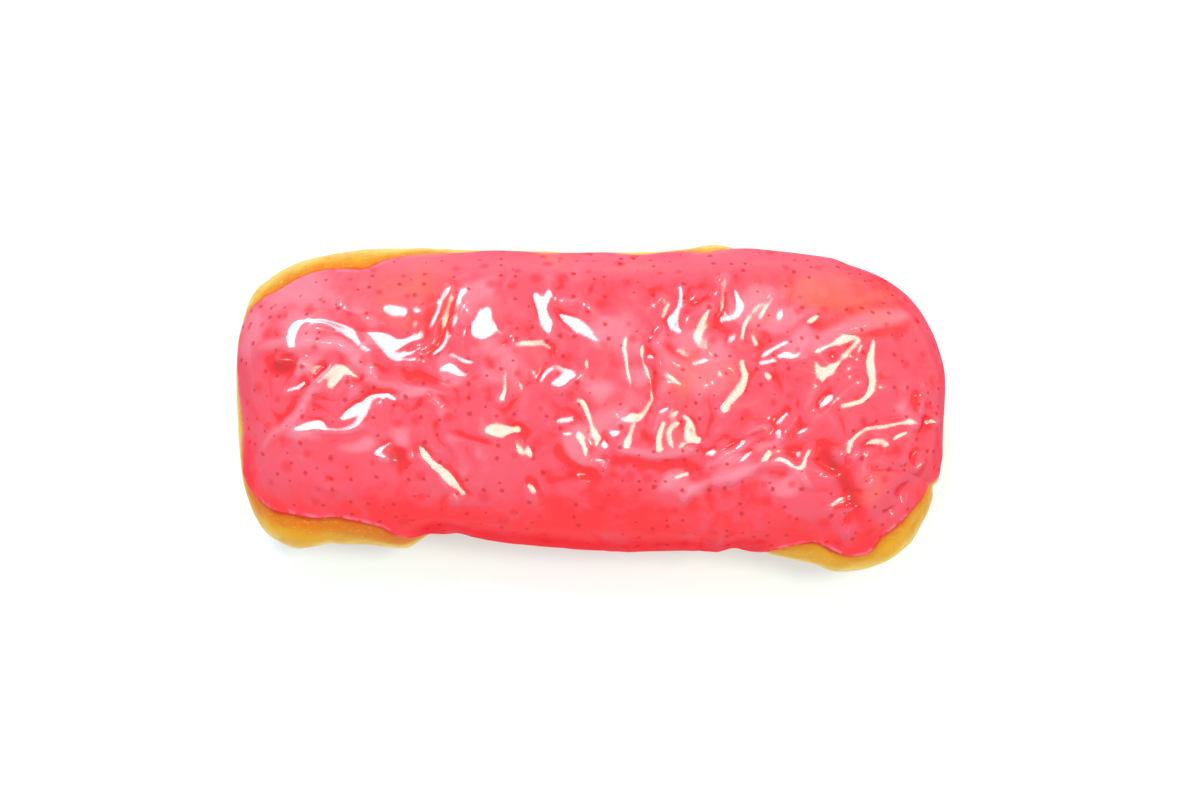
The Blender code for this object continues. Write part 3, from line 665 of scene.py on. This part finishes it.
def facet_offsets(surface, cover, wish, free):
    """Offsets that tip the facets to their slopes and turn the skin between them away from both lamps."""
    lamps = ((mirror_slope(surface, WINDOW), CLEAR_OF_WINDOW), (mirror_slope(surface, LAMP), CLEAR_OF_LAMP))
    hold = HOLD + EDGE_HOLD * (1 - free)
    share = cover[..., None]
    runs = [np.diff(surface, axis=axis) for axis in (0, 1)]
    offset = np.zeros(cover.shape)
    turning = np.zeros(cover.shape)
    for _ in range(SETTLING_ROUNDS):
        slope = slopes(grid_normals(surface + offset[..., None] * (0, 0, 1)))
        away = slope
        for mirrored, clear in lamps:
            gap = slope - mirrored
            distance = np.linalg.norm(gap, axis=-1)
            close = (distance < clear) & (free > 0.5)
            pushed = mirrored + gap / np.maximum(distance, TINY)[..., None] * clear * CLEAR_MARGIN
            away = np.where(close[..., None], pushed, away)
            turning += CLEAR_PULL * close
        goal = share * wish + (1 - share) * away
        pull = FACET_PULL * cover + turning * (1 - cover)
        pulls, rises = [], []
        for axis, run in enumerate(runs):
            drawn = middle(pull, axis)
            rise = np.sum(middle(goal, axis) * run[..., :2], axis=-1) - run[..., 2]
            pulls.append(1 + drawn)
            rises.append(rise * drawn / (1 + drawn))
        offset = settle(offset, pulls, rises, hold)
    return offset


def distance_to(line, points):
    """How far each point lies from the nearest point of a line."""
    tree = kdtree.KDTree(len(line))
    for index, point in enumerate(line):
        tree.insert(point, index)
    tree.balance()
    return np.array([tree.find(point)[2] for point in points])


def add_piece(name, points, faces, material, node, attributes):
    """A smooth mesh piece that stands for a node of the frame."""
    mesh = bpy.data.meshes.new(name)
    mesh.from_pydata(points * MM, [], faces)
    mesh.materials.append(material)
    for key, values in attributes.items():
        kind, field = ("FLOAT", "value") if values.ndim == 1 else ("FLOAT_VECTOR", "vector")
        mesh.attributes.new(key, kind, "POINT").data.foreach_set(field, values.astype(np.float32).ravel())
    mesh.update()
    mesh.shade_smooth()
    piece = bpy.data.objects.new(name, mesh)
    bpy.context.scene.collection.objects.link(piece)
    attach(piece, "root")
    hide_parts(node)


def under_faces(columns, rows):
    """Large faces that close the sheet from below and take in every point of its edge."""
    faces = []
    for i in range(0, columns, UNDER_STEP):
        for j in range(0, rows, UNDER_STEP):
            far_i, far_j = i + UNDER_STEP, j + UNDER_STEP
            low = range(i, far_i) if j == 0 else [i]
            right = range(j, far_j) if far_i == columns else [j]
            top = range(far_i, i, -1) if far_j == rows else [far_i]
            left = range(far_j, j, -1) if i == 0 else [far_j]
            face = [(a, j) for a in low] + [(far_i, b) for b in right]
            faces.append(face + [(a, far_j) for a in top] + [(i, b) for b in left])
    return faces


def blurred(grid, reach):
    """Mean of the cells up to reach away, taken twice for a soft edge."""
    width = 2 * reach + 1
    for _ in range(4):
        total = np.cumsum(np.pad(grid, ((reach + 1, reach), (0, 0)), mode="edge"), axis=0)
        grid = ((total[width:] - total[:-width]) / width).T
    return grid


def inside_spots(plan, spots):
    """1 in the middle of a ragged spot, fading to 0."""
    strayed = plan + SPOT_DRIFT * drift(plan, SPOT_SEED, SPOT_SIZE)
    share = np.zeros(len(plan))
    for centre, radii in spots:
        away = np.hypot(*((strayed - centre) / radii).T)
        share = np.maximum(share, np.exp(-(away**SPOT_CROWN)))
    return share


def unrolled(u, v, laid):
    """Plan places of the sheet with its sides laid out flat, for patterns that run down them."""
    ring = np.maximum(np.abs(u), np.abs(v))
    _, outward, sideways = rim(square_place(u, v, ring))
    drop = RING_HEIGHT + RISE - laid[:, 2]
    return level(laid[:, :2] + SIDE_UNROLLED * drop[:, None] * np.column_stack([outward, sideways]))


def icing_edge():
    """Points of the line where the icing ends on the dough."""
    place = np.linspace(0, 8, EDGE_MARKS, endpoint=False)
    corners = (0, 1, 3, 5, 7, 8)
    u = np.interp(place, corners, (1, 1, -1, -1, 1, 1))
    v = np.interp(place, corners, (0, 1, 1, -1, -1, 0))
    return skin(*spread(u, v, edge_angle(edge_height(place))))


def make_icing(material):
    """A fine sheet over the dough, lifted by its coat and relief, and closed from below."""
    columns, rows = ICING_CELLS
    shape = (columns + 1, rows + 1)
    spacing = [np.linspace(-1, 1, cells + 1) for cells in ICING_CELLS]
    u, v = (np.sign(line) * (1 - (1 - np.abs(line)) ** EDGE_CROWDING) for line in spacing)
    u, v = (axis.ravel() for axis in np.meshgrid(u, v, indexing="ij"))
    ring = np.maximum(np.abs(u), np.abs(v))
    edge = edge_angle(edge_height(square_place(u, v, ring)))
    angle = ring * PLAIN_EDGE_ANGLE + ring**EDGE_PULL * (edge - PLAIN_EDGE_ANGLE)
    laid = skin(*spread(u, v, angle))
    normal = unit(grid_normals(laid.reshape(*shape, 3))).reshape(-1, 3)
    to_edge = distance_to(laid[ring > 1 - TINY], laid)

    bead_share = 1 - np.minimum(to_edge / BEAD_ROUND, 1)
    bead = -SUNK + (BEAD + SUNK) * np.sqrt(1 - bead_share**2)
    coat = bead + (COAT - BEAD) * step(BEAD_ROUND, COAT_REACH, to_edge)
    plan = (laid + normal * coat[:, None])[:, :2]
    folds = fold_relief(plan)
    body = step(*SMOOTH_BORDER, to_edge)
    lifted = coat + body * (folds + wrinkles(plan))
    draped = laid + normal * lifted[:, None]
    cover, wish = facet_wishes(draped)
    free = step(*FREE_SKIN, to_edge)
    tipped = facet_offsets(
        draped.reshape(*shape, 3), (cover * free).reshape(shape), wish.reshape(*shape, 2), free.reshape(shape)
    ).ravel()
    lifted = lifted + tipped
    lifted = np.where(to_edge > BEAD_ROUND, np.maximum(lifted, LEAST_COAT), lifted)
    outer = laid + normal * lifted[:, None]

    index = np.arange(len(outer)).reshape(shape)
    quads = np.stack([index[:-1, :-1], index[1:, :-1], index[1:, 1:], index[:-1, 1:]], axis=-1)
    faces = quads.reshape(-1, 4).tolist()
    inside = tuple(slice(UNDER_STEP, cells, UNDER_STEP) for cells in ICING_CELLS)
    above = index[inside].ravel()
    under = index.copy()
    under[inside] = len(outer) + np.arange(len(above)).reshape(under[inside].shape)
    faces += [under[tuple(zip(*reversed(face)))].tolist() for face in under_faces(columns, rows)]
    points = np.concatenate([outer, laid[above] - normal[above] * SUNK])
    attributes = {
        # fold height, up on ridges and down in creases; the finish paints sheen and shade from it
        "ridge": body * folds,
        # how far each point lies below the mean of its surroundings, for painted shade in hollows and painted
        # light on bumps
        "hollow": (blurred(lifted.reshape(shape), HOLLOW_REACH).ravel() - lifted) * body,
        "thin": inside_spots(plan, THIN_SPOTS),
        # spots of painted sheen
        "painted_sheen": inside_spots(plan, PAINTED_SHEEN_SPOTS),
        "rich": inside_spots(plan, RICH_SPOTS),
        "edge": to_edge * MM,
        "sheet": unrolled(u, v, laid) * MM,
    }
    for key, values in attributes.items():
        attributes[key] = np.concatenate([values, np.zeros((len(above), *values.shape[1:]))])
    add_piece("icing_coat", points, faces, material, "icing", attributes)


def make_dough(material):
    """A finely divided cube drawn into the bar, with the lumps of its fried skin."""
    cube = bmesh.new()
    bmesh.ops.create_cube(cube, size=2.0)
    for axis, cuts in enumerate(DOUGH_CUTS):
        runs = [edge for edge in cube.edges if abs(edge.verts[0].co[axis] - edge.verts[1].co[axis]) > 1]
        bmesh.ops.subdivide_edges(cube, edges=runs, cuts=cuts, use_grid_fill=True)
    cube.verts.index_update()
    u, v, w = np.array([vertex.co for vertex in cube.verts]).T
    faces = [[vertex.index for vertex in face.verts] for face in cube.faces]
    cube.free()
    ring = np.maximum(np.abs(u), np.abs(v))
    side_angle = np.pi / 2 - w * (np.pi / 2 - SHOULDER_ANGLE)
    angle = np.where(w > 0, ring * side_angle, np.pi - ring * (np.pi - side_angle))
    points = skin(*spread(u, v, angle))
    lumps = sum(tall * Grain(LUMP_SEED + row)(points / size) for row, (size, tall) in enumerate(DOUGH_LUMPS))
    lumps = (lumps - LUMP_LEVEL) * step(*LUMPS_ABOVE_TABLE, points[:, 2])
    centre = np.stack(np.broadcast_arrays(np.clip(points[:, 0], -SPINE, SPINE), 0, RING_HEIGHT), axis=1)
    points = points + unit(points - centre) * lumps[:, None]
    attributes = {"to_icing": distance_to(icing_edge(), points) * MM}
    add_piece("dough_bar", points, faces, material, "dough", attributes)


class Value:
    """A shader socket that can be used in sums; each operation adds one Math node."""

    def __init__(self, finish, socket):
        self.finish = finish
        self.socket = socket

    def combine(self, operation, first, second):
        return self.finish.node("ShaderNodeMath", {"operation": operation}, {0: first, 1: second})

    def __add__(self, other):
        return self.combine("ADD", self, other)

    def __sub__(self, other):
        return self.combine("SUBTRACT", self, other)

    def __rsub__(self, other):
        return self.combine("SUBTRACT", other, self)

    def __mul__(self, other):
        return self.combine("MULTIPLY", self, other)

    def __truediv__(self, other):
        return self.combine("DIVIDE", self, other)

    def __lt__(self, other):
        return self.combine("LESS_THAN", self, other)

    __radd__ = __add__
    __rmul__ = __mul__


class Finish:
    """A material with its nodes: node() adds one, mix() blends colours, ramp() turns a value into a share."""

    def __init__(self, name, **shader_values):
        self.material = bpy.data.materials.new(name)
        self.material.use_nodes = True
        self.tree = self.material.node_tree
        self.shader = self.tree.nodes["Principled BSDF"]
        for key, value in shader_values.items():
            self.shader.inputs[key.replace("_", " ").title().replace("Ior", "IOR")].default_value = value

    def node(self, kind, settings=(), inputs=(), output=0):
        made = self.tree.nodes.new(kind)
        for key, value in dict(settings).items():
            setattr(made, key, value)
        for key, value in dict(inputs).items():
            self.feed(made.inputs[key], value)
        return Value(self, made.outputs[output])

    def feed(self, socket, value):
        if isinstance(value, Value):
            self.tree.links.new(value.socket, socket)
        else:
            socket.default_value = value

    def surface(self, name, value):
        self.feed(self.shader.inputs[name], value)

    def ramp(self, value, start, end):
        """A share from 0 at start to 1 at end, eased at both."""
        settings = {"interpolation_type": "SMOOTHSTEP"}
        return self.node("ShaderNodeMapRange", settings, {"Value": value, "From Min": start, "From Max": end})

    def mix(self, share, first, second):
        return self.node("ShaderNodeMix", {"data_type": "RGBA"}, {0: share, 6: first, 7: second}, output=2)

    def layered(self, base, *layers):
        """Colours laid over a base one after the other, each by its share."""
        for share, tint in layers:
            base = self.mix(share, base, tint)
        return base

    def attribute(self, name, output=2):
        return self.node("ShaderNodeAttribute", {"attribute_name": name}, output=output)

    def other(self, value, output):
        """Another output of the node that a value comes from."""
        return Value(self, value.socket.node.outputs[output])

    def place(self):
        return self.node("ShaderNodeTexCoord", output=3)

    def noise(self, *values):
        """Cloudy grain from a scale and, where given, a detail, roughness and distortion."""
        inputs = dict(zip(("Scale", "Detail", "Roughness", "Distortion"), values))
        return self.node("ShaderNodeTexNoise", inputs={"Vector": self.place(), **inputs})

    def bump(self, height, strength, distance, below=None):
        inputs = {"Height": height, "Strength": strength, "Distance": distance}
        if below is not None:
            inputs["Normal"] = below
        return self.node("ShaderNodeBump", inputs=inputs)


def colour(red, green, blue):
    """A shader colour from the eight-bit colour that the eye reads."""
    eight_bit = np.array([red, green, blue]) / 255
    linear = np.where(eight_bit <= 0.04045, eight_bit / 12.92, ((eight_bit + 0.055) / 1.055) ** 2.4)
    return (*linear.tolist(), 1.0)


def scattered(finish, scale, share_kept, inner, outer):
    """Small ragged spots of several sizes on the sheet: a share of a scattered pattern's cells holds one."""
    sheet = finish.attribute("sheet", output=1)
    ragged = finish.node("ShaderNodeTexNoise", inputs={"Vector": sheet, "Scale": RAGGED_SCALE}, output=1)
    shift = {0: ragged, 1: (RAGGED_SHIFT,) * 3, 2: sheet}
    warped = finish.node("ShaderNodeVectorMath", {"operation": "MULTIPLY_ADD"}, shift)
    placing = {"Vector": warped, "Scale": scale}
    cells = finish.node("ShaderNodeTexVoronoi", {"voronoi_dimensions": "2D"}, placing)
    chance = finish.node("ShaderNodeSeparateColor", inputs={"Color": finish.other(cells, "Color")})
    size = finish.other(chance, 1)
    dot = 1 - finish.ramp(cells / (0.5 + size), inner, outer)
    return dot * (chance < share_kept)


def icing_finish():
    finish = Finish(
        "strawberry_icing", roughness=0.3, ior=1.4, specular_ior_level=0, coat_roughness=0.15,
        coat_ior=1.5, subsurface_weight=0.1, subsurface_scale=0.003,
    )
    finish.shader.inputs["Subsurface Radius"].default_value = (1, 0.25, 0.2)
    ramp, noise = finish.ramp, finish.noise
    ridge = finish.attribute("ridge")
    hollow = finish.attribute("hollow")
    edge = finish.attribute("edge") * IN_MM
    # painted shade: crimson laid in the creases, where the fold height falls below zero
    crease_shade = 1 - ramp(ridge, -0.95, -0.25)
    # painted sheen spots, kept out of the painted crease shade
    painted_sheen = finish.attribute("painted_sheen") * (1 - crease_shade)
    to_right = finish.node("ShaderNodeSeparateXYZ", inputs={"Vector": finish.place()})
    to_back = finish.other(to_right, 1) * IN_MM
    mottle = noise(75, 4, 0.6, 0.6)
    streaks = noise(260, 3, 0.6, 0.8)
    crease_shade_red = colour(176, 10, 30)
    seed_red = colour(200, 6, 26)
    pulp_red = colour(224, 16, 32)
    deep = colour(240, 38, 49)
    coral = colour(222, 76, 96)
    pink = colour(222, 105, 124)
    # colour of the painted sheen and highlights laid over the icing
    painted_sheen_lilac = colour(229, 134, 153)
    peach = colour(230, 116, 97)
    # random mottle and streaks, lightened a little by the painted sheen spots
    tone = 0.42 + (mottle - 0.5) * 1.1 + (streaks - 0.5) * 0.4 + painted_sheen * 0.3
    patches = noise(28, 2)
    # painted shade and light: deeper red towards the front, which faces away from the lights, a little
    # lighter towards the back, and deeper still at the front edge
    front = 1 - ramp(to_back + (patches - 0.5) * 14, -29, -12)
    tone = tone + ramp(to_back, 8, 27) * 0.1 - front * 0.38 + (patches - 0.5) * 0.4
    tone = tone - (1 - ramp(to_back, -33.5, -29)) * 0.12
    # painted shade and light: deeper red in hollows, paler on bumps
    tone = tone + (1 - ramp(hollow, -0.22, 0)) * 0.35 - ramp(hollow, 0, 0.22) * 0.45
    # painted shade: deeper red in the creases; deeper red also in the rich spots
    tone = tone - (1 - ramp(ridge, -0.9, -0.05)) * 0.35 - finish.attribute("rich") * 0.22
    thin = finish.attribute("thin") * ramp(noise(110, 3), 0.25, 0.6)
    # painted sheen: a pale lilac band along the back of the icing
    back_rim_sheen = ramp(to_back + (patches - 0.5) * 8, 25, 31)
    # painted highlight: a broken pale line along the rounded bead just inside the icing's edge
    bead = ramp(edge, 0.3, 0.7) * (1 - ramp(edge, 0.9, 1.8)) * ramp(streaks, 0.4, 0.6)
    pulp = scattered(finish, 170, 0.62, 0.04, 0.24)
    specks = scattered(finish, 320, 0.42, 0.05, 0.18)
    base = finish.layered(
        deep,
        (ramp(tone, 0, 0.5), coral),
        (ramp(tone, 0.5, 1), pink),
        # painted sheen: pale lilac where the spots of broad soft reflection lie
        (ramp(painted_sheen + (mottle - 0.5) * 0.6, 0.35, 0.95) * 0.55, painted_sheen_lilac),
        # painted sheen: lilac along the tops of the folds
        (ramp(ridge, 0.3, 0.9) * 0.5, painted_sheen_lilac),
        # painted shade in the creases
        (crease_shade * 0.68, crease_shade_red),
        (thin * 0.62, peach),
        (back_rim_sheen * 0.2, painted_sheen_lilac),
        (bead * 0.55, painted_sheen_lilac),
        (pulp * 0.55, pulp_red),
        (specks * 0.78, seed_red),
    )
    finish.surface("Base Color", base)
    facing = finish.node("ShaderNodeLayerWeight", inputs={"Blend": 0.5}, output=1)
    finish.surface("Coat Weight", 1 - ramp(facing, 0.2, 0.6) * 0.93)
    ripple = noise(1100, 3, 0.6, 0.4)
    seeds = finish.bump(specks * 0.4 + pulp * 0.3, 0.6, 0.0003)
    finish.surface("Normal", finish.bump(ripple, 0.17, 0.0004, seeds))
    return finish.material


def dough_finish():
    finish = Finish(
        "dough_crust", roughness=0.5, specular_ior_level=0.1, subsurface_weight=0.12, subsurface_scale=0.003
    )
    finish.shader.inputs["Subsurface Radius"].default_value = (1, 0.5, 0.2)
    ramp, noise = finish.ramp, finish.noise
    to_right = finish.node("ShaderNodeSeparateXYZ", inputs={"Vector": finish.place()})
    to_back = finish.other(to_right, 1)
    height = finish.other(to_right, 2) * IN_MM
    belt = height + (noise(60, 3, 0.6) - 0.5) * 9
    golden = colour(226, 164, 34)
    pale = colour(238, 206, 108)
    brown = colour(190, 116, 36)
    # browner crust of the shoulder, also standing for painted shadow under the icing's edge
    shoulder_and_shadow_orange = colour(218, 104, 16)
    tan = colour(208, 138, 50)
    fleck_brown = colour(200, 118, 30)
    pore_cream = colour(242, 212, 120)
    stain_and_shade_red = colour(216, 64, 26)
    ring = ramp(belt, 8, 12.5) * (1 - ramp(belt, 17.5, 23))
    to_icing = finish.attribute("to_icing") * IN_MM
    patches = noise(90, 4, 0.6, 0.5)
    right_share = ramp(to_right, 0, 0.02)
    front_share = 1 - ramp(to_back, -0.02, 0)
    right_front = right_share * front_share
    left_front = (1 - right_share) * front_share
    # band next to the icing: partly the crust's browner shoulder and glaze film, partly painted shadow cast
    # by the icing's edge, wider at the front left
    reach = to_icing - left_front * 1.8 + right_front * 0.8 + (noise(140, 3) - 0.5) * 5
    shoulder_and_icing_shadow = 1 - ramp(reach, 0.4, 4.2)
    flecks = noise(420, 5, 0.7)
    pores = noise(1300, 4, 0.7)
    # thin icing stain along the icing's edge, also standing for painted contact shadow there
    stain_and_contact_shade = 1 - ramp(to_icing + (noise(500, 2) - 0.5) * 0.8, 0.3, 1.3)
    base = finish.layered(
        brown,
        (ramp(belt, 2, 10), golden),
        (ring, pale),
        (ramp(patches, 0.42, 0.66) * 0.45, tan),
        (shoulder_and_icing_shadow * 0.8, shoulder_and_shadow_orange),
        (ramp(flecks, 0.5, 0.75) * 0.45, fleck_brown),
        (ramp(pores, 0.52, 0.75) * 0.35, pore_cream),
        (stain_and_contact_shade * 0.8, stain_and_shade_red),
    )
    finish.surface("Base Color", base)
    finish.surface("Roughness", 0.42 + noise(300, 3) * 0.25)
    grain = noise(700, 4, 0.6) + noise(2400, 3, 0.6) * 0.4
    finish.surface("Normal", finish.bump(grain, 0.6, 0.0008))
    return finish.material


def floor_finish():
    finish = Finish(
        "pale_floor", roughness=0.7, specular_ior_level=0.2, emission_color=WHITE, emission_strength=0.18
    )
    shade = finish.noise(3.0, 2.0)
    finish.surface("Base Color", finish.mix(shade, colour(228, 244, 253), colour(231, 247, 255)))
    return finish.material


def add_floor(material):
    mesh = bpy.data.meshes.new("pale_floor")
    grid = bmesh.new()
    bmesh.ops.create_grid(grid, x_segments=4, y_segments=4, size=FLOOR_REACH)
    grid.to_mesh(mesh)
    grid.free()
    mesh.materials.append(material)
    floor = bpy.data.objects.new("pale_floor", mesh)
    bpy.context.scene.collection.objects.link(floor)


def add_light(name, place, sides, radiance, tint):
    """A soft panel, its sides in metres, of the given radiance that faces the bar."""
    lamp = bpy.data.lights.new(name, "AREA")
    lamp.shape = "RECTANGLE"
    lamp.size, lamp.size_y = sides
    lamp.energy = radiance * sides[0] * sides[1] * np.pi
    lamp.color = tint
    light = bpy.data.objects.new(name, lamp)
    light.location = Vector(place) * MM
    light.rotation_euler = (-Vector(place)).to_track_quat("-Z", "Y").to_euler()
    bpy.context.scene.collection.objects.link(light)


def set_stage():
    scene = bpy.context.scene
    world = bpy.data.worlds.new("soft white room")
    world.use_nodes = True
    background = world.node_tree.nodes["Background"]
    background.inputs["Color"].default_value = WHITE
    background.inputs["Strength"].default_value = ROOM_LIGHT
    scene.world = world
    scene.view_settings.view_transform = "Standard"
    add_light("cool window", WINDOW, (0.28, 0.22), 28.0, (0.93, 0.97, 1.0))
    add_light("warm lamp", LAMP, (0.2, 0.2), 26.0, (1.0, 0.94, 0.68))
    camera = bpy.data.objects.new("camera", bpy.data.cameras.new("camera"))
    camera.data.lens = CAMERA_LENS
    camera.location = Vector(EYE) * MM
    camera.data.clip_start = NEAREST_SEEN
    scene.collection.objects.link(camera)
    scene.camera = camera


add_floor(floor_finish())
make_dough(dough_finish())
make_icing(icing_finish())
set_stage()
